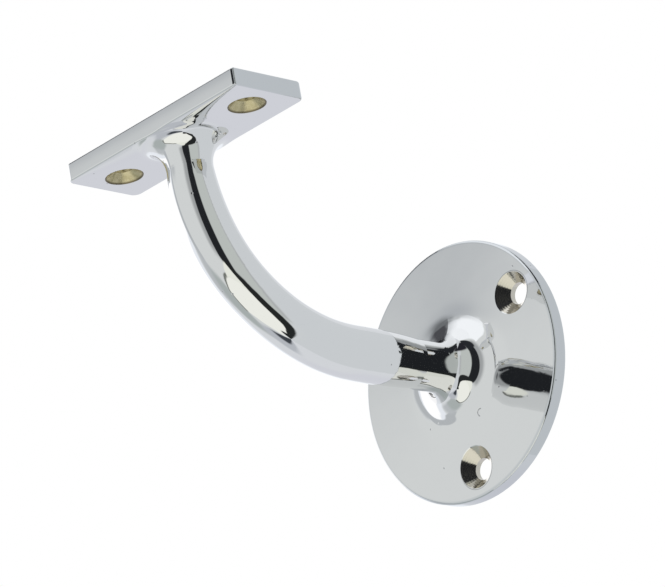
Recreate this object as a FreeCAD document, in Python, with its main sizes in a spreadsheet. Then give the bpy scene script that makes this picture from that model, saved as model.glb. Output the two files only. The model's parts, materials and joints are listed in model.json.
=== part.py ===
import FreeCAD, Part
import math
import os

import Sketcher

# Handrail bracket: one brass casting, polished and chrome plated, that holds a
# timber rail off a wall. A round rose is screwed to the wall. A round arm
# stands out of the rose and bends upwards, and the flat plate on top of the
# arm is screwed to the underside of the rail.
#
# Frame: the origin is the centre of the rose's flat back, which lies on the
# wall. +Y points into the wall, so the bracket reaches out along -Y. +Z is up,
# and the rail runs along X. All sizes are in millimetres.

DIMENSIONS = [
    ("rose_diameter", 64.0, "rose, across"),
    ("rose_edge", 3.6, "rose, thickness at its edge"),
    ("rose_dome", 1.0, "rose, rise of its domed face from edge to centre"),
    ("rose_edge_round", 0.6, "rose, rounding of its front edge"),
    ("rose_hole_inset", 7.35, "wall screw holes, from their centres to the rose's edge"),
    ("rose_hole_count", 3, "wall screw holes, how many"),
    ("rose_hole_diameter", 5.3, "wall screw hole, across"),
    ("rose_sink_diameter", 10.4, "wall screw hole, countersink across its mouth"),
    ("neck_diameter", 12.1, "neck of the arm, across"),
    ("neck_reach", 20.0, "neck of the arm, its end from the wall"),
    ("neck_flare", 8.0, "neck of the arm, flare into the rose"),
    ("shoulder_diameter", 13.1, "arm where it has swelled past the neck, across"),
    ("shoulder_share", 0.44, "arm where it has swelled, share of the way from neck to bend"),
    ("elbow_diameter", 13.2, "arm where its bend starts, across"),
    ("middle_diameter", 12.1, "arm halfway round its bend, across"),
    ("top_diameter", 11.2, "arm where its bend ends, across"),
    ("top_straight", 0.6, "arm, straight length between its bend and its upper flare"),
    ("lower_bend_radius", 45.8, "arm, first half of its bend, to its middle"),
    ("projection", 82.8, "wall to the middle of the rail plate"),
    ("plate_height", 47.5, "centre of the rose to the plate's underside"),
    ("plate_length", 60.0, "rail plate, along the rail"),
    ("plate_width", 22.2, "rail plate, across the rail"),
    ("plate_thickness", 4.4, "rail plate, thickness"),
    ("plate_corner", 2.0, "rail plate, three of its corners, radius"),
    ("plate_crisp_corner", 0.5, "rail plate, the corner that was polished least, radius"),
    ("plate_edge_round", 0.4, "rail plate, rounding of its edges"),
    ("plate_flare", 7.0, "flare of the arm into the rail plate"),
    ("plate_hole_spacing", 43.6, "rail screw holes, centre to centre"),
    ("plate_hole_diameter", 5.0, "rail screw hole, across"),
    ("plate_sink_diameter", 9.3, "rail screw hole, countersink across its mouth"),
]

HALF_BEND = 45.0  # degrees the arm turns in each half of its bend
OVERCUT = 2.0  # how far the tools of the screw holes start and end outside the metal
TOLERANCE = 0.01
SAMPLES = 9  # points looked at along an edge

# Sketcher's own numbers for an element's points, a sketch's axes and its origin.
START, END, CENTRE = range(1, 4)
SKETCH_Y, SKETCH_X = range(-2, 0)
ORIGIN = (SKETCH_X, START)


class Length:
    """A size together with the sheet's formula for it, so that what is drawn
    with the size can also be bound to the sheet."""

    def __init__(self, value, formula):
        self.value = value
        self.formula = formula

    def __add__(self, other):
        return combine(self, "+", other, self.value + number(other))

    def __sub__(self, other):
        return combine(self, "-", other, self.value - number(other))

    def __mul__(self, factor):
        return combine(self, "*", factor, self.value * number(factor))

    def __truediv__(self, factor):
        return combine(self, "/", factor, self.value / number(factor))

    def __neg__(self):
        return Length(-self.value, "(-%s)" % self.formula)


def number(length):
    return length.value if isinstance(length, Length) else length


def formula(length):
    return length.formula if isinstance(length, Length) else repr(float(length))


def combine(first, sign, second, value):
    return Length(value, "(%s %s %s)" % (first.formula, sign, formula(second)))


doc = FreeCAD.newDocument("HandrailBracket")
sheet = doc.addObject("Spreadsheet::Sheet", "Dimensions")
size = {}
for row, (alias, value, note) in enumerate(DIMENSIONS, start=1):
    sheet.set("A%d" % row, note)
    sheet.set("B%d" % row, str(value))
    sheet.setAlias("B%d" % row, alias)
    size[alias] = Length(value, "Dimensions.%s" % alias)
doc.recompute()

body = doc.addObject("PartDesign::Body", "Bracket")
body.Label = "bracket"


def base(role):
    """One of the body's own base planes or axes."""
    return next(item for item in body.Origin.OriginFeatures if item.Role == role)


def new_sketch(name, role):
    """A sketch on one of the body's base planes."""
    sketch = body.newObject("Sketcher::SketchObject", name)
    sketch.AttachmentSupport = [(base(role), "")]
    sketch.MapMode = "FlatFace"
    return sketch


def constrain(sketch, kind, *elements):
    return sketch.addConstraint(Sketcher.Constraint(kind, *elements))


def dimension(sketch, kind, elements, length):
    """A dimension of a sketch, bound to the sheet."""
    index = constrain(sketch, kind, *elements, number(length))
    sketch.setExpression("Constraints[%d]" % index, formula(length))


def place(sketch, element, point, x, y):
    """Set a point of a sketch by its distances from the sketch's origin."""
    for kind, axis, distance in (("DistanceX", SKETCH_Y, x), ("DistanceY", SKETCH_X, y)):
        if number(distance) == 0:
            constrain(sketch, "PointOnObject", element, point, axis)
        elif number(distance) > 0:
            dimension(sketch, kind, (*ORIGIN, element, point), distance)
        else:
            dimension(sketch, kind, (element, point, *ORIGIN), -distance)


def line(sketch, start, end):
    """A straight line; its ends aren't placed yet."""
    ends = [FreeCAD.Vector(number(x), number(y), 0) for x, y in (start, end)]
    return sketch.addGeometry(Part.LineSegment(*ends))


def arc(sketch, centre, start, end):
    """An arc, anticlockwise from start to end; nothing is placed yet."""
    centre, start, end = [
        FreeCAD.Vector(number(x), number(y), 0) for x, y in (centre, start, end)
    ]
    circle = Part.Circle(centre, FreeCAD.Vector(0, 0, 1), centre.distanceToPoint(start))
    angles = [math.atan2(point.y - centre.y, point.x - centre.x) for point in (start, end)]
    return sketch.addGeometry(Part.ArcOfCircle(circle, *angles))


def join(sketch, *elements):
    """Tie each element's end to the next one's start, and the last to the first."""
    for index, element in enumerate(elements):
        following = elements[(index + 1) % len(elements)]
        constrain(sketch, "Coincident", element, END, following, START)


def outline(sketch, corners):
    """A closed outline of straight lines, each corner placed."""
    sides = [line(sketch, corners[index - 1], corner) for index, corner in enumerate(corners)]
    join(sketch, *sides)
    for side, corner in zip(sides, corners):
        place(sketch, side, END, *corner)


def add(kind, name, **settings):
    """A feature of the body, recomputed and set as its tip."""
    feature = body.newObject(kind, name)
    for setting, value in settings.items():
        setattr(feature, setting, value)
    doc.recompute()
    body.Tip = feature
    return feature


def add_cut(kind, name, before, **settings):
    """A feature that has to take metal away from the one before it."""
    feature = add(kind, name, **settings)
    if not feature.Shape.Volume < before.Shape.Volume - TOLERANCE:
        raise RuntimeError("%s cuts nothing" % name)
    return feature


def bind(feature, setting, length):
    feature.setExpression(setting, formula(length))
    doc.recompute()


def turn(name, sketch, axis):
    """Turn a profile once round an axis, as added metal."""
    return add("PartDesign::Revolution", name, Profile=sketch, ReferenceAxis=axis, Angle=360)


def near(first, second):
    return abs(first - number(second)) < TOLERANCE


def add_fillet(name, before, radius, test):
    """Round every edge of the feature before on which all points pass the test."""
    names = []
    for index, edge in enumerate(before.Shape.Edges, start=1):
        if not edge.Degenerated and all(test(point) for point in edge.discretize(SAMPLES)):
            names.append("Edge%d" % index)
    if not names:
        raise RuntimeError("%s finds no edge" % name)
    fillet = add("PartDesign::Fillet", name, Base=(before, names), Radius=number(radius))
    bind(fillet, "Radius", radius)
    return fillet


def add_rose():
    """The rose: a disc with a domed face, turned about the Y axis."""
    rim = size["rose_diameter"] / 2
    edge = size["rose_edge"]
    rise = size["rose_dome"]
    crown = edge + rise
    dome_radius = (rim * rim + rise * rise) / (rise * 2)
    sketch = new_sketch("RoseProfile", "YZ_Plane")
    back = line(sketch, (0, 0), (0, rim))
    side = line(sketch, (0, rim), (-edge, rim))
    face = arc(sketch, (dome_radius - crown, 0), (-edge, rim), (-crown, 0))
    axis = line(sketch, (-crown, 0), (0, 0))
    join(sketch, back, side, face, axis)
    constrain(sketch, "PointOnObject", face, CENTRE, SKETCH_X)
    place(sketch, back, START, 0, 0)
    place(sketch, side, START, 0, rim)
    place(sketch, face, START, -edge, rim)
    place(sketch, axis, START, -crown, 0)
    return turn("Rose", sketch, (base("Y_Axis"), [""]))


def add_neck():
    """The neck: a straight round bar from inside the rose to the arm."""
    radius = size["neck_diameter"] / 2
    inside = size["rose_edge"] / 2
    reach = size["neck_reach"]
    sketch = new_sketch("NeckProfile", "YZ_Plane")
    outline(sketch, [(-inside, 0), (-inside, radius), (-reach, radius), (-reach, 0)])
    return turn("Neck", sketch, (base("Y_Axis"), [""]))


def bend():
    """The lengths that lay out the arm's quarter bend, which is two arcs: its
    start from the wall, its middle, the radius of its second half, and its end."""
    sine = math.sin(math.radians(HALF_BEND))
    rest = 1 - math.cos(math.radians(HALF_BEND))
    lower = size["lower_bend_radius"]
    end = size["plate_height"] - size["plate_flare"] - size["top_straight"]
    upper = (end - lower * rest) / sine
    start = size["projection"] - lower * sine - upper * rest
    middle = (start + lower * sine, lower * rest)
    return start, middle, upper, end


def ring(name, diameter, reach, height, turned):
    """A circle across the arm, at a distance from the wall and a height above
    the rose's centre, turned from facing out of the wall to facing up."""
    sketch = new_sketch(name, "XZ_Plane")
    circle = sketch.addGeometry(Part.Circle(
        FreeCAD.Vector(0, 0, 0), FreeCAD.Vector(0, 0, 1), number(diameter) / 2))
    constrain(sketch, "Coincident", circle, CENTRE, *ORIGIN)
    dimension(sketch, "Diameter", (circle,), diameter)
    sketch.AttachmentOffset = FreeCAD.Placement(
        FreeCAD.Vector(0, number(height), number(reach)),
        FreeCAD.Rotation(FreeCAD.Vector(1, 0, 0), -turned),
    )
    sketch.setExpression("AttachmentOffset.Base.y", formula(height))
    sketch.setExpression("AttachmentOffset.Base.z", formula(reach))
    return sketch


def add_arm():
    """The arm: straight out from its neck, then round its bend. It swells past
    the neck and tapers towards the plate."""
    lower = size["lower_bend_radius"]
    projection = size["projection"]
    neck = size["neck_reach"]
    start, middle, upper, top = bend()
    middle_reach, middle_height = middle
    shoulder = neck + (start - neck) * size["shoulder_share"]

    path = new_sketch("ArmPath", "YZ_Plane")
    out = line(path, (-neck, 0), (-start, 0))
    first = arc(path, (-start, lower), (-middle_reach, middle_height), (-start, 0))
    second = arc(path, (upper - projection, top), (-projection, top), (-middle_reach, middle_height))
    constrain(path, "Coincident", out, END, first, END)
    constrain(path, "Coincident", first, START, second, END)
    place(path, out, START, -neck, 0)
    place(path, out, END, -start, 0)
    place(path, first, CENTRE, -start, lower)
    dimension(path, "DistanceX", (first, START, *ORIGIN), middle_reach)
    place(path, second, CENTRE, upper - projection, top)
    dimension(path, "DistanceY", (*ORIGIN, second, START), top)

    rings = [
        ring("NeckEnd", size["neck_diameter"], neck, 0, 0),
        ring("Shoulder", size["shoulder_diameter"], shoulder, 0, 0),
        ring("Elbow", size["elbow_diameter"], start, 0, 0),
        ring("BendMiddle", size["middle_diameter"], middle_reach, middle_height, HALF_BEND),
        ring("BendEnd", size["top_diameter"], projection, top, HALF_BEND * 2),
    ]
    doc.recompute()
    return add("PartDesign::AdditivePipe", "Arm", Profile=rings[0], Spine=path,
               Transformation="Multisection", Sections=[(item, "") for item in rings[1:]])


def add_arm_top():
    """The upright end of the arm, which flares into the plate like a trumpet.
    Its sketch stands on the middle of the plate."""
    radius = size["top_diameter"] / 2
    flare = size["plate_flare"]
    height = size["plate_height"]
    inside = height + size["plate_thickness"] / 2
    mouth = radius + flare
    bell = height - flare
    bottom = bell - size["top_straight"]
    sketch = new_sketch("ArmTopProfile", "YZ_Plane")
    sketch.setExpression("AttachmentOffset.Base.x", formula(-size["projection"]))
    axis = line(sketch, (0, inside), (0, bottom))
    foot = line(sketch, (0, bottom), (radius, bottom))
    side = line(sketch, (radius, bottom), (radius, bell))
    curve = arc(sketch, (mouth, bell), (mouth, height), (radius, bell))
    rim = line(sketch, (mouth, height), (mouth, inside))
    lid = line(sketch, (mouth, inside), (0, inside))
    constrain(sketch, "Coincident", axis, END, foot, START)
    constrain(sketch, "Coincident", foot, END, side, START)
    constrain(sketch, "Coincident", side, END, curve, END)
    constrain(sketch, "Coincident", curve, START, rim, START)
    constrain(sketch, "Coincident", rim, END, lid, START)
    constrain(sketch, "Coincident", lid, END, axis, START)
    place(sketch, axis, START, 0, inside)
    place(sketch, foot, START, 0, bottom)
    place(sketch, foot, END, radius, bottom)
    constrain(sketch, "Vertical", side)
    place(sketch, curve, CENTRE, mouth, bell)
    dimension(sketch, "DistanceY", (*ORIGIN, side, END), bell)
    dimension(sketch, "DistanceX", (*ORIGIN, curve, START), mouth)
    constrain(sketch, "Vertical", rim)
    dimension(sketch, "DistanceY", (*ORIGIN, lid, START), inside)
    return turn("ArmTop", sketch, (sketch, ["V_Axis"]))


def plate_rectangle(length, width):
    """Corners of a rectangle as seen from above, centred on the plate."""
    middle = -size["projection"]
    return [
        (-length / 2, middle - width / 2),
        (length / 2, middle - width / 2),
        (length / 2, middle + width / 2),
        (-length / 2, middle + width / 2),
    ]


def add_trim(before):
    """Grind the flare flush with the plate's sides: a frame-shaped pocket
    around the plate, from its top down to the foot of the flare."""
    spare = size["top_diameter"] + size["plate_flare"] * 2
    depth = size["plate_thickness"] + size["plate_flare"]
    sketch = new_sketch("TrimFrame", "XY_Plane")
    top = size["plate_height"] + size["plate_thickness"]
    sketch.setExpression("AttachmentOffset.Base.z", formula(top))
    outline(sketch, plate_rectangle(size["plate_length"], size["plate_width"]))
    outline(sketch, plate_rectangle(size["plate_length"] + spare, size["plate_width"] + spare))
    trim = add_cut("PartDesign::Pocket", "Trim", before, Profile=sketch, Length=number(depth))
    bind(trim, "Length", depth)
    return trim


def add_plate():
    """The rail plate, a plain slab."""
    sketch = new_sketch("PlateOutline", "XY_Plane")
    sketch.setExpression("AttachmentOffset.Base.z", formula(size["plate_height"]))
    outline(sketch, plate_rectangle(size["plate_length"], size["plate_width"]))
    thickness = size["plate_thickness"]
    plate = add("PartDesign::Pad", "Plate", Profile=sketch, Length=number(thickness))
    bind(plate, "Length", thickness)
    return plate


def round_rose(before):
    """The neck's flare into the rose, and the rounding of the rose's front edge."""
    neck = size["neck_diameter"] / 2
    crown = number(size["rose_edge"] + size["rose_dome"])
    rim = size["rose_diameter"] / 2
    edge = size["rose_edge"]
    flared = add_fillet(
        "NeckFlare", before, size["neck_flare"],
        lambda point: near(math.hypot(point.x, point.z), neck) and point.y > -crown - TOLERANCE)
    return add_fillet(
        "RoseEdgeRound", flared, size["rose_edge_round"],
        lambda point: near(math.hypot(point.x, point.z), rim) and near(point.y, -edge))


def round_plate(before):
    """The plate's corners, then its upper and lower edges all round."""
    length = number(size["plate_length"] / 2)
    width = number(size["plate_width"] / 2)
    corner = number(size["plate_corner"])
    under = number(size["plate_height"])
    top = size["plate_height"] + size["plate_thickness"]

    def across(point):
        """How far out of the wall a point lies from the plate's middle."""
        return -point.y - number(size["projection"])

    def at_corner(point):
        return near(abs(point.x), length) and near(abs(across(point)), width)

    def crisp(point):
        return point.x > 0 and across(point) > 0

    def on_border(point):
        at_end = abs(point.x) > length - TOLERANCE
        at_side = abs(across(point)) > width - TOLERANCE
        in_corner = abs(point.x) > length - corner - TOLERANCE
        in_corner = in_corner and abs(across(point)) > width - corner - TOLERANCE
        return at_end or at_side or in_corner

    def at_face(point):
        return near(point.z, top) or point.z < under + TOLERANCE

    rounded = add_fillet("PlateCorners", before, size["plate_corner"],
                         lambda point: at_corner(point) and not crisp(point))
    finished = add_fillet("PlateCrispCorner", rounded, size["plate_crisp_corner"],
                          lambda point: at_corner(point) and crisp(point))
    return add_fillet("PlateEdges", finished, size["plate_edge_round"],
                      lambda point: on_border(point) and at_face(point))


def add_wall_holes(before):
    """The countersunk wall screw holes: the lowest one is cut, then repeated
    round the rose."""
    hole = size["rose_hole_diameter"] / 2
    sink = size["rose_sink_diameter"] / 2
    circle = size["rose_diameter"] - size["rose_hole_inset"] * 2
    share = circle / size["rose_diameter"]
    face = size["rose_edge"] + size["rose_dome"] - size["rose_dome"] * share * share
    sketch = new_sketch("WallScrewProfile", "YZ_Plane")
    sketch.setExpression("AttachmentOffset.Base.y", formula(-circle / 2))
    outline(sketch, [
        (OVERCUT, 0),
        (OVERCUT, hole),
        (sink - hole - face, hole),
        (-face, sink),
        (-face - OVERCUT, sink + OVERCUT),
        (-face - OVERCUT, 0),
    ])
    first = add_cut("PartDesign::Groove", "WallScrewHole", before, Profile=sketch,
                    ReferenceAxis=(sketch, ["H_Axis"]), Angle=360)
    holes = add_cut("PartDesign::PolarPattern", "WallScrewHoles", first, Originals=[first],
                    Axis=(base("Y_Axis"), [""]), Angle=360,
                    Occurrences=int(number(size["rose_hole_count"])))
    bind(holes, "Occurrences", size["rose_hole_count"])
    return holes


def add_rail_holes(before):
    """The countersunk rail screw holes: one is cut, then mirrored across the arm."""
    hole = size["plate_hole_diameter"] / 2
    sink = size["plate_sink_diameter"] / 2
    under = size["plate_height"]
    over = under + size["plate_thickness"] + OVERCUT
    sketch = new_sketch("RailScrewProfile", "XZ_Plane")
    sketch.setExpression("AttachmentOffset.Base.x", formula(size["plate_hole_spacing"] / 2))
    sketch.setExpression("AttachmentOffset.Base.z", formula(size["projection"]))
    outline(sketch, [
        (0, under - OVERCUT),
        (sink + OVERCUT, under - OVERCUT),
        (sink, under),
        (hole, under + sink - hole),
        (hole, over),
        (0, over),
    ])
    first = add_cut("PartDesign::Groove", "RailScrewHole", before, Profile=sketch,
                    ReferenceAxis=(sketch, ["V_Axis"]), Angle=360)
    return add_cut("PartDesign::Mirrored", "RailScrewHoles", first, Originals=[first],
                   MirrorPlane=(base("YZ_Plane"), [""]))


def check():
    """Stop if any object failed, or the casting isn't one sound solid."""
    for item in doc.Objects:
        if {"Invalid", "Error"} & set(item.State):
            raise RuntimeError("%s: %s" % (item.Name, item.State))
        shape = getattr(item, "Shape", None)
        if item.isDerivedFrom("PartDesign::Feature") and (shape.isNull() or not shape.isValid()):
            raise RuntimeError("%s has no sound shape" % item.Name)
    if len(body.Shape.Solids) != 1:
        raise RuntimeError("the casting is %d solids" % len(body.Shape.Solids))


def main():
    add_rose()
    add_neck()
    add_arm()
    casting = add_arm_top()
    if number(size["top_diameter"] / 2 + size["plate_flare"]) > number(size["plate_width"] / 2):
        add_trim(casting)
    casting = round_rose(add_plate())
    casting = round_plate(casting)
    add_rail_holes(add_wall_holes(casting))
    doc.recompute()
    check()
    os.makedirs("parts", exist_ok=True)
    body.Shape.exportStep("parts/bracket.step")


main()
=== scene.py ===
import json
import math

import bpy
from mathutils import Matrix, Vector


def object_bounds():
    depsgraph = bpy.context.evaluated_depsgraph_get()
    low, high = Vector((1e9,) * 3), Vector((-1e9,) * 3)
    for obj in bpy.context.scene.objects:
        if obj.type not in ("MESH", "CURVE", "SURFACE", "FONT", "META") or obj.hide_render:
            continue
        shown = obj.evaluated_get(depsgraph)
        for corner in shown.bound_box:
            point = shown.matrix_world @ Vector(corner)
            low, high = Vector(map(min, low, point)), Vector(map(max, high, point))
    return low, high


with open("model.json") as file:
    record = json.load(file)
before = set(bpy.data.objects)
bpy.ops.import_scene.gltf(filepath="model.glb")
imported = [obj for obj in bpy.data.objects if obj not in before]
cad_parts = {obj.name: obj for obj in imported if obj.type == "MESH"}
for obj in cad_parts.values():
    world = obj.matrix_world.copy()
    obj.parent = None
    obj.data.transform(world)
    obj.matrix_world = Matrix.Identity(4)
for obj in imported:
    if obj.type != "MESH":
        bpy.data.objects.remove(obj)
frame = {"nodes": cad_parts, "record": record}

cad_low, cad_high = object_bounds()
scene = bpy.context.scene
bracket = frame["nodes"]["bracket"]
mounts = {mount["name"]: mount for mount in frame["record"]["mounts"]}

MM = 0.001
TURN = 2 * math.pi


# --- node helpers ---------------------------------------------------------

class Graph:
    """A node tree with short calls for the maths that the shaders need."""

    def __init__(self, tree):
        self.tree = tree
        tree.nodes.clear()

    def node(self, kind, inputs=(), **settings):
        made = self.tree.nodes.new(kind)
        for name, value in settings.items():
            setattr(made, name, value)
        for key, value in dict(inputs).items():
            self.feed(made.inputs[key], value)
        return made

    def feed(self, socket, value):
        if isinstance(value, bpy.types.NodeSocket):
            self.tree.links.new(value, socket)
        else:
            socket.default_value = value

    def math(self, operation, first, second=0.0, third=0.0):
        made = self.node("ShaderNodeMath", {0: first, 1: second, 2: third}, operation=operation)
        return made.outputs[0]

    def smooth(self, value, low, high):
        """0 at low, 1 at high, smooth between; low may be the larger."""
        made = self.node(
            "ShaderNodeMapRange",
            {"Value": value, "From Min": low, "From Max": high},
            interpolation_type="SMOOTHSTEP")
        return made.outputs["Result"]

    def band(self, value, low, high, soft):
        """1 between low and high, with edges soft wide."""
        rise = self.smooth(value, low - soft / 2, low + soft / 2)
        fall = self.smooth(value, high + soft / 2, high - soft / 2)
        return self.math("MULTIPLY", rise, fall)

    def mix(self, factor, first, second):
        made = self.node("ShaderNodeMix", data_type="RGBA")
        self.feed(made.inputs["Factor"], factor)
        self.feed(made.inputs[6], first)
        self.feed(made.inputs[7], second)
        return made.outputs[2]

    def split(self, vector):
        return self.node("ShaderNodeSeparateXYZ", {0: vector}).outputs


def linear(red, green, blue):
    """A colour written as 0 to 255 sRGB, as the linear colour a shader takes."""
    values = []
    for part in (red, green, blue):
        part /= 255
        values.append(part / 12.92 if part <= 0.04045 else ((part + 0.055) / 1.055) ** 2.4)
    return (*values, 1.0)


def grey(level):
    return (level, level, level, 1.0)


# --- the chrome and the brass ---------------------------------------------

# The part's own sizes. The rose's zone also takes in the foot of the neck.
PLATE_THICKNESS = 4.4 * MM
PLATE_HALF = 30 * MM
ROSE_RADIUS = -cad_low[2]
ROSE_ZONE = 8 * MM
WALL_SINK_RADIUS = 5.2 * MM
RAIL_SINK_RADIUS = 4.65 * MM
UNDERSIDE = cad_high[2] - PLATE_THICKNESS

CHROME = (0.80, 0.805, 0.81)
# A darker chrome colour for the rose's rim and the plate's ends.
DARKER_EDGE_CHROME = (0.66, 0.68, 0.70)
THIN_CHROME = linear(214, 209, 198)
CHROME_MARK = linear(165, 165, 168)
LIP_SHADOW = linear(110, 110, 112)
BRASS_LOW, BRASS_HIGH = linear(196, 186, 148), linear(212, 202, 166)
# Painted shade for the brass at the rail holes' lips.
BRASS_LIP_SHADE = linear(118, 108, 86)


class Metal:
    """The places on the bracket that the shader treats differently, each a mask of 0 to 1."""

    def __init__(self, g):
        self.g = g
        self.place = g.node("ShaderNodeTexCoord").outputs["Object"]
        self.normal = g.node("ShaderNodeNewGeometry").outputs["Normal"]
        self.x, self.y, self.z = g.split(self.place)
        _, self.face_y, self.face_z = g.split(self.normal)
        self.from_neck = self.reach(self.x, self.z)

        on_rose = g.smooth(self.y, -ROSE_ZONE - MM, -ROSE_ZONE + MM)
        on_plate = g.smooth(self.z, UNDERSIDE - 1.5 * MM, UNDERSIDE - 0.5 * MM)
        facing_front = g.smooth(self.face_y, -0.9, -0.97)
        facing_down = g.smooth(self.face_z, -0.93, -0.97)
        self.rose_face = g.math("MULTIPLY", on_rose, facing_front)
        self.plate_side = g.math("MULTIPLY", on_plate, facing_front)
        self.plate_under = g.math("MULTIPLY", on_plate, facing_down)

        at_rim = g.smooth(self.from_neck, ROSE_RADIUS - MM, ROSE_RADIUS - 0.4 * MM)
        at_end = g.smooth(g.math("ABSOLUTE", self.x), PLATE_HALF - 0.6 * MM, PLATE_HALF - 0.3 * MM)
        self.rose_rim = g.math("MULTIPLY", on_rose, at_rim)
        self.plate_ends = g.math("MULTIPLY", on_plate, at_end)

        self.wall_holes(on_rose)
        self.rail_holes()

    def reach(self, across, up):
        """The distance that two offsets make."""
        squares = self.g.math("MULTIPLY_ADD", across, across, self.g.math("MULTIPLY", up, up))
        return self.g.math("SQRT", squares)

    def wall_holes(self, on_rose):
        """The three countersunk holes in the rose, one of them at the bottom."""
        g = self.g
        dims = mounts["wall_screws"]["dims"]
        circle = dims["pcd_mm"] / 2 * MM
        self.wall_reach = None
        for index in range(dims["count"]):
            angle = index * TURN / dims["count"] - TURN / 4
            across = g.math("SUBTRACT", self.x, circle * math.cos(angle))
            up = g.math("SUBTRACT", self.z, circle * math.sin(angle))
            reach = self.reach(across, up)
            self.wall_reach = g.math("MINIMUM", self.wall_reach, reach) if index else reach
        inside = g.smooth(self.wall_reach, WALL_SINK_RADIUS + 0.1 * MM, WALL_SINK_RADIUS)
        walls = g.smooth(g.math("ABSOLUTE", self.face_y), 0.985, 0.97)
        self.turned = g.math("MULTIPLY", g.math("MULTIPLY", inside, walls), on_rose)
        lip = g.band(self.wall_reach, WALL_SINK_RADIUS - 0.05 * MM, WALL_SINK_RADIUS + 0.12 * MM,
                     0.1 * MM)
        self.wall_lips = g.math("MULTIPLY", lip, self.rose_face)

    def rail_holes(self):
        """The two countersunk holes in the plate."""
        g = self.g
        rail = mounts["rail_screws"]
        to_hole = rail["dims"]["spacing_x_mm"] / 2 * MM
        across = g.math("SUBTRACT", g.math("ABSOLUTE", self.x), to_hole)
        reach = self.reach(across, g.math("SUBTRACT", self.y, rail["pos_m"][1]))
        inside = g.smooth(reach, RAIL_SINK_RADIUS + 0.2 * MM, RAIL_SINK_RADIUS)
        above = g.smooth(self.z, UNDERSIDE - 0.1 * MM, UNDERSIDE + 0.1 * MM)
        walls = g.smooth(g.math("ABSOLUTE", self.face_z), 0.97, 0.94)
        self.brass = g.math("MULTIPLY", g.math("MULTIPLY", inside, above), walls)
        # The band at the hole's lip that takes the painted shade.
        self.brass_lip_shade = g.smooth(self.z, UNDERSIDE + 0.55 * MM, UNDERSIDE + 0.15 * MM)


def eased_normal(g, at):
    """The normal of the polished casting, softer than its flats. It leans at the
    outer edge of the plate's underside, up the plate's long side, at one end of
    that side and near the neck. A lean is what is added to a normal of length 1.
    The leans are set to bend the reflections as in the photo. They stand for
    no measured shape, and some are steeper than the outline allows a real slope."""
    # Outward along the underside's outer edge, over a strip that narrows to the ends.
    strip_width, strip_taper, strip_lean = 17 * MM, 0.52, 0.42
    outer = cad_low[1]
    inner = g.math("MULTIPLY_ADD", g.math("ABSOLUTE", at.x), -strip_taper, outer + strip_width)
    edge = g.smooth(at.y, inner, outer)
    edge = g.math("MULTIPLY", g.math("MULTIPLY", edge, edge), -strip_lean)
    outward = g.math("MULTIPLY", edge, at.plate_under)

    # Up the long side, which is slightly crowned, and sideways at its +X corner.
    crown_lean, foot_lean, corner_lean = 0.075, 0.01, 0.9
    rise = g.smooth(at.z, UNDERSIDE, cad_high[2])
    crown = g.math("MULTIPLY_ADD", g.math("MULTIPLY", rise, rise), crown_lean, -foot_lean)
    upward = g.math("MULTIPLY", crown, at.plate_side)
    corner = g.smooth(at.x, PLATE_HALF - 1.1 * MM, PLATE_HALF - 0.9 * MM)
    sideways = g.math("MULTIPLY", g.math("MULTIPLY", corner, corner_lean), at.plate_side)

    # Away from the neck, gently over the whole rose and more over its last few millimetres.
    rose_lean, neck_lean = 0.045, 0.10
    near = g.smooth(at.from_neck, ROSE_RADIUS + 2 * MM, 11 * MM)
    beside = g.smooth(at.from_neck, 18.5 * MM, 12 * MM)
    slope = g.math("MULTIPLY", g.math("MULTIPLY", near, near), rose_lean)
    slope = g.math("MULTIPLY_ADD", beside, neck_lean, slope)
    slope = g.math("DIVIDE", g.math("MULTIPLY", slope, at.rose_face), at.from_neck)
    sideways = g.math("MULTIPLY_ADD", slope, at.x, sideways)
    upward = g.math("MULTIPLY_ADD", slope, at.z, upward)

    lean = g.node("ShaderNodeCombineXYZ", {0: sideways, 1: outward, 2: upward}).outputs[0]
    leaning = g.node("ShaderNodeVectorMath", {0: at.normal, 1: lean}, operation="ADD").outputs[0]
    return g.node("ShaderNodeVectorMath", {0: leaning}, operation="NORMALIZE").outputs[0]


def faults(g, at):
    """A few pits, and one hooked mark on the rose below the neck."""
    cells_per_metre, pit_edge, pit_floor = 170.0, 0.055, 0.02
    spots = g.node("ShaderNodeTexVoronoi", {"Vector": at.place, "Scale": cells_per_metre})
    pits = g.smooth(spots.outputs["Distance"], pit_edge, pit_floor)

    hook_x, hook_z, hook_inner, hook_outer = 5.1 * MM, -12.4 * MM, 0.8 * MM, 1.02 * MM
    across = g.math("SUBTRACT", at.x, hook_x)
    up = g.math("SUBTRACT", at.z, hook_z)
    ring = g.band(at.reach(across, up), hook_inner, hook_outer, 0.1 * MM)
    leftward = g.math("MULTIPLY_ADD", up, 0.5, g.math("MULTIPLY", across, -1.0))
    left_part = g.smooth(leftward, -0.15 * MM, 0.3 * MM)
    hook = g.math("MULTIPLY", g.math("MULTIPLY", ring, left_part), at.rose_face)
    return g.math("MAXIMUM", pits, hook)


def relief(g, at, marks):
    """The height of a shallow waviness, a finer grain, the marks and the turning rings."""
    wave_height, grain_height, mark_depth = 0.06 * MM, 0.0012 * MM, 0.05 * MM
    ring_height, ring_period = 0.003 * MM, 0.45 * MM
    wave = g.node("ShaderNodeTexNoise", {"Vector": at.place, "Scale": 110.0, "Detail": 1.0})
    grain = g.node("ShaderNodeTexNoise", {"Vector": at.place, "Scale": 900.0, "Detail": 2.0})
    rings = g.math("SINE", g.math("MULTIPLY", at.wall_reach, TURN / ring_period))
    height = g.math("MULTIPLY", wave.outputs[0], wave_height)
    height = g.math("MULTIPLY_ADD", grain.outputs[0], grain_height, height)
    height = g.math("MULTIPLY_ADD", marks, -mark_depth, height)
    return g.math("MULTIPLY_ADD", g.math("MULTIPLY", rings, at.turned), ring_height, height)


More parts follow.
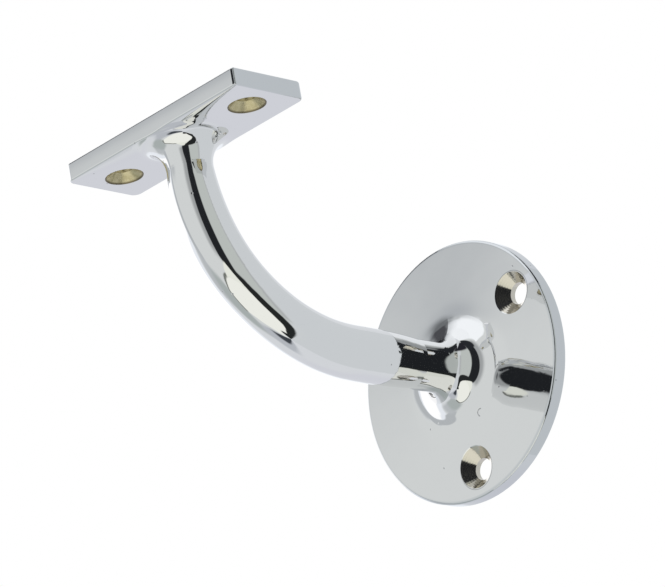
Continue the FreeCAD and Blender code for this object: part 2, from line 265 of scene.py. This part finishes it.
def brass_tone(g, at):
    """Brass, streaked down the hole, and darkened at its lip with painted shade."""
    fine, along = 900.0, 60.0
    stretch = g.node("ShaderNodeVectorMath", {0: at.place, 1: (fine, fine, along)},
                     operation="MULTIPLY").outputs[0]
    streaks = g.node("ShaderNodeTexNoise", {"Vector": stretch, "Scale": 1.0, "Detail": 2.0})
    brass = g.mix(g.smooth(streaks.outputs[0], 0.35, 0.65), BRASS_LOW, BRASS_HIGH)
    # Painted shade darkens the brass at the lip.
    return g.mix(at.brass_lip_shade, brass, BRASS_LIP_SHADE)


def metal():
    """Polished chrome, darker in colour along the rose's rim and the plate's ends. The wall screw
    holes are turned and thinly plated, with a dark line round their lips. The rail
    screw holes are bare brass, which the plating barely reached."""
    material = bracket.data.materials[0]
    material.name = "chrome"
    material.use_nodes = True
    g = Graph(material.node_tree)
    at = Metal(g)
    marks = faults(g, at)
    bump = g.node("ShaderNodeBump", {
        "Strength": 1.0, "Distance": 1.0, "Height": relief(g, at, marks),
        "Normal": eased_normal(g, at)})

    brass = brass_tone(g, at)
    # Darker colour along the rose's rim and the plate's ends.
    darker_edges = g.math("MAXIMUM", at.rose_rim, at.plate_ends)
    colour = g.mix(darker_edges, (*CHROME, 1), (*DARKER_EDGE_CHROME, 1))
    colour = g.mix(at.turned, colour, THIN_CHROME)
    colour = g.mix(g.math("MULTIPLY", at.wall_lips, 0.6), colour, LIP_SHADOW)
    colour = g.mix(marks, colour, CHROME_MARK)
    colour = g.mix(at.brass, colour, brass)

    polish, turned_extra, brass_extra = 0.03, 0.1, 0.32
    rough = g.math("MULTIPLY_ADD", at.turned, turned_extra, polish)
    rough = g.math("MULTIPLY_ADD", at.brass, brass_extra, rough)
    shader = g.node("ShaderNodeBsdfPrincipled", {
        "Base Color": colour, "Metallic": 1.0, "Roughness": rough, "Normal": bump.outputs[0]})
    g.node("ShaderNodeOutputMaterial", {"Surface": shader.outputs[0]})


metal()


# --- the studio -----------------------------------------------------------

# The cards that stand round the bracket, from the first painted to the last. Each is
# its colour as the chrome shows it, its corners (azimuth, elevation) going clockwise,
# and the width of its soft edge. Azimuth 0 is straight out from the wall and 90 is +X,
# all in degrees.
CARDS = [
    # The wall low on the left, and the ceiling.
    ((203, 205, 212), [(-165, -2), (-118, -6), (-112, -40), (-165, -45)], 20),
    ((236, 239, 242), [(-115, 90), (14, 90), (8, 50), (-50, 42), (-115, 56)], 6),
    ((240, 243, 246), [(-62, 56), (2, 60), (12, 46), (-33, 30)], 2),
    # The softbox's glow on the left, the softbox itself, and its grey border.
    ((226, 230, 236), [(-148, 32), (-60, 32), (-54, 6), (-62, -8), (-110, -10), (-148, 6)], 5),
    ((254, 254, 255), [(-138, 36), (-88, 36), (-74, 26), (-65, 8), (-67, -1), (-78, 0),
                       (-110, 6), (-138, 16)], 3),
    ((174, 178, 181), [(-65, 26), (-58, 26), (-54, 10), (-52, -22), (-66, -22)], 2.5),
    # The right-hand wall, in shade, and the line where it ends.
    ((182, 187, 184), [(54, 52), (97, 52), (97, -42), (54, -42)], 7),
    ((168, 171, 172), [(95, 34), (100, 34), (100, -36), (95, -36)], 6),
    # The dark edge between the left wall and the ceiling.
    ((168, 172, 176), [(-114, 54), (-70, 52), (-32, 34), (-38, 22), (-114, 38)], 18),
    ((72, 73, 77), [(-114, 52), (-78, 50), (-54, 41), (-60, 34), (-114, 42)], 6),
    ((104, 107, 110), [(-64, 46), (-47, 34), (-52, 29), (-66, 36)], 6),
    # The shade below the softbox.
    ((180, 184, 187), [(-90, -10), (-60, -12), (-52, -24), (-50, -50), (-90, -50)], 10),
    ((165, 172, 171), [(-92, -26), (-58, -24), (-36, -44), (-45, -52), (-64, -54), (-92, -70)], 12),
    ((178, 182, 188), [(-112, -48), (-84, -48), (-70, -60), (-60, -92), (-112, -92)], 10),
    # The dark gap that the camera stands in, with its softer edge first.
    ((156, 159, 160), [(18, 62), (42, 62), (42, -36), (14, -30)], 14),
    ((33, 35, 38), [(29, 60), (57, 60), (57, -36), (36, -38), (25, -32), (28, -10)], 4),
    # The dark corners of the room: two above, and two below.
    ((38, 40, 44), [(20, 92), (70, 92), (57, 45), (28, 45)], 6),
    ((36, 36, 42), [(60, 84), (118, 84), (118, 52), (60, 52)], 8),
    ((60, 64, 70), [(-101, -70), (-86, -66), (-70, -68), (-62, -92), (-101, -92)], 8),
    ((36, 38, 38), [(34, -32), (82, -34), (93, -38), (98, -48), (98, -62), (92, -92), (20, -92),
                    (20, -46)], 4),
    # The dark line along the far edge of the floor card, then the card.
    ((112, 115, 110), [(-66, -51), (-50, -44.2), (8, -44.2), (30, -44.2), (30, -60), (-50, -60)], 1.5),
    ((233, 234, 227), [(-62, -54), (-48, -46.5), (6, -46.5), (58, -47), (74, -54), (82, -61),
                       (81, -68), (72, -80), (-50, -88)], 2),
    ((226, 228, 219), [(0, -47), (33, -35), (62, -49)], 2),
]
LEFT_WALL, MIDDLE_WALL, RIGHT_WALL = (208, 211, 215), (205, 208, 208), (198, 202, 205)


def seen(red, green, blue):
    """The brightness a card needs for the chrome to show it as this sRGB colour."""
    return (*[part / tone for part, tone in zip(linear(red, green, blue), CHROME)], 1.0)


def card_mask(g, azimuth, elevation, corners, soft):
    """1 in the directions inside a convex card, with edges soft wide."""
    mask = None
    for (a1, e1), (a2, e2) in zip(corners, corners[1:] + corners[:1]):
        length = math.hypot(a2 - a1, e2 - e1)
        across, up = (e2 - e1) / length, -(a2 - a1) / length
        inside = g.math("MULTIPLY_ADD", azimuth, across, -(a1 * across + e1 * up))
        inside = g.math("MULTIPLY_ADD", elevation, up, inside)
        edge = g.smooth(inside, -soft / 2, soft / 2)
        mask = edge if mask is None else g.math("MULTIPLY", mask, edge)
    return mask


def studio():
    """A pale studio around the object, painted by direction, with softboxes and dark
    flags in it. Only the metal sees them: the camera sees plain white, and the floor
    is lit by an even grey."""
    world = bpy.data.worlds.new("studio")
    scene.world = world
    world.use_nodes = True
    g = Graph(world.node_tree)
    x, y, z = g.split(g.node("ShaderNodeTexCoord").outputs["Generated"])
    azimuth = g.math("DEGREES", g.math("ARCTAN2", x, g.math("MULTIPLY", y, -1.0)))
    elevation = g.math("DEGREES", g.math("ARCSINE", z))

    # The walls: cooler on the left, a little darker on the right.
    light = g.mix(g.smooth(azimuth, -110.0, -60.0), seen(*LEFT_WALL), seen(*MIDDLE_WALL))
    light = g.mix(g.smooth(azimuth, 110.0, 80.0), seen(*RIGHT_WALL), light)
    for colour, corners, soft in CARDS:
        light = g.mix(card_mask(g, azimuth, elevation, corners, soft), light, seen(*colour))

    rays = g.node("ShaderNodeLightPath").outputs
    mirrored = g.math("MAXIMUM", rays["Is Glossy Ray"], rays["Is Transmission Ray"])
    even = g.node("ShaderNodeBackground", {"Color": grey(0.8), "Strength": 1.0})
    room = g.node("ShaderNodeBackground", {"Color": light, "Strength": 1.0})
    white = g.node("ShaderNodeBackground", {"Color": grey(1.0), "Strength": 1.0})
    around = g.node("ShaderNodeMixShader", {0: mirrored, 1: even.outputs[0], 2: room.outputs[0]})
    whole = g.node("ShaderNodeMixShader", {
        0: rays["Is Camera Ray"], 1: around.outputs[0], 2: white.outputs[0]})
    g.node("ShaderNodeOutputWorld", {"Surface": whole.outputs[0]})


studio()


def floor():
    """A plain pale floor, well below the bracket."""
    half, level = 4.0, -0.95
    mesh = bpy.data.meshes.new("floor")
    mesh.from_pydata([(-half, -half, level), (half, -half, level), (half, half, level),
                      (-half, half, level)], [], [(0, 1, 2, 3)])
    plane = bpy.data.objects.new("floor", mesh)
    scene.collection.objects.link(plane)
    material = bpy.data.materials.new("floor")
    material.use_nodes = True
    g = Graph(material.node_tree)
    shader = g.node("ShaderNodeBsdfDiffuse", {"Color": grey(0.85)})
    g.node("ShaderNodeOutputMaterial", {"Surface": shader.outputs[0]})
    mesh.materials.append(material)
    plane.visible_glossy = False


floor()


def lamp():
    """A large soft key light, above and to the left of the bracket, which it points
    at. It is kept out of the metal's reflections."""
    light = bpy.data.lights.new("key", "AREA")
    light.energy, light.size, light.color = 12.0, 1.2, (1, 1, 1)
    key = bpy.data.objects.new("key", light)
    key.location = (-0.6, -1.2, 1.6)
    target = Vector((0, -0.05, 0.02))
    key.rotation_euler = (target - key.location).to_track_quat("-Z", "Y").to_euler()
    key.visible_glossy = False
    scene.collection.objects.link(key)


lamp()


# --- the camera -----------------------------------------------------------

def camera():
    """Below the bracket and out to its right, tilted a little."""
    azimuth, elevation, roll = math.radians(43.406), math.radians(-21.033), math.radians(-10.059)
    middle = Vector((0, -0.045, 0.035))
    distance, across, up = 1.5818, 0.005131, -0.018945
    back = Vector((math.sin(azimuth) * math.cos(elevation),
                   -math.cos(azimuth) * math.cos(elevation), math.sin(elevation)))
    level = Vector((0, 0, 1)).cross(back).normalized()
    upright = back.cross(level)
    side = math.cos(roll) * level + math.sin(roll) * upright
    top = math.cos(roll) * upright - math.sin(roll) * level
    lens = bpy.data.cameras.new("camera")
    lens.sensor_width, lens.lens, lens.clip_end = 36, 361.07, 100
    made = bpy.data.objects.new("camera", lens)
    scene.collection.objects.link(made)
    matrix = Matrix((side, top, back)).transposed().to_4x4()
    matrix.translation = middle + back * distance + side * across + top * up
    made.matrix_world = matrix
    scene.camera = made


camera()
scene.view_settings.view_transform = "Standard"
